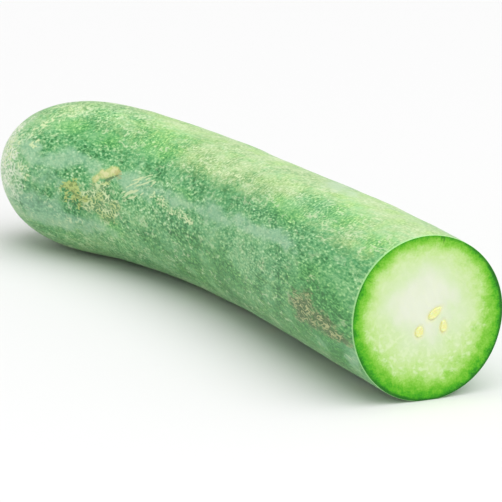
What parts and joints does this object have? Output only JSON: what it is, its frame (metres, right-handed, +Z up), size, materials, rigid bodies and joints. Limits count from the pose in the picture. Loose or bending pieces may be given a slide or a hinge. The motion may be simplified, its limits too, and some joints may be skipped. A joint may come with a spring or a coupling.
{
  "type": "wax gourd",
  "caption": "Slender, slightly curved wax gourd cut across near its stem end, lying on its side, with mottled green skin, pale solid flesh and three small seeds in the cut face.",
  "frame": {"origin": "on the ground, under the middle of the bounding box", "axes": "+X points out of the cut face and along the body, +Z is up, and the blossom end lies at -X and curves towards -Y"},
  "size_m": [0.4684, 0.1318, 0.0962],
  "materials": {
    "skin": "waxy skin, satin, mottled green",
    "flesh": "moist cut flesh, soft sheen",
    "seed": "moist pale yellow seed coat"
  },
  "bodies": {
    "root": {"gourd": "skin"}
  },
  "joints": []
}
